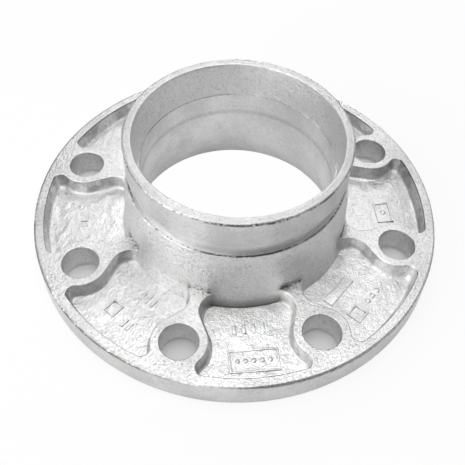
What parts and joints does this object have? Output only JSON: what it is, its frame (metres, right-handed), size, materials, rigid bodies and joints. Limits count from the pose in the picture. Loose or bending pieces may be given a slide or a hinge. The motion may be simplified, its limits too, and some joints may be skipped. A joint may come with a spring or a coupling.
{
  "type": "grooved flange adaptor",
  "caption": "Round cast flange adaptor with bolt holes between scalloped pockets, a raised mating face, and a hub that ends in a grooved pipe end for a coupling.",
  "frame": {"origin": "centre of the raised mating face, which is also the plane that the adaptor stands on", "axes": "+Z along the bore, from the mating face to the grooved pipe end; +X and +Y each pass midway between two bolt holes"},
  "size_m": [0.22, 0.22, 0.07],
  "materials": {
    "galvanised_iron": "hot-dip galvanised: bright silvery zinc, lumpy on the cast faces, satin in the bore"
  },
  "bodies": {
    "root": {"adaptor_casting": "galvanised_iron"}
  },
  "joints": []
}
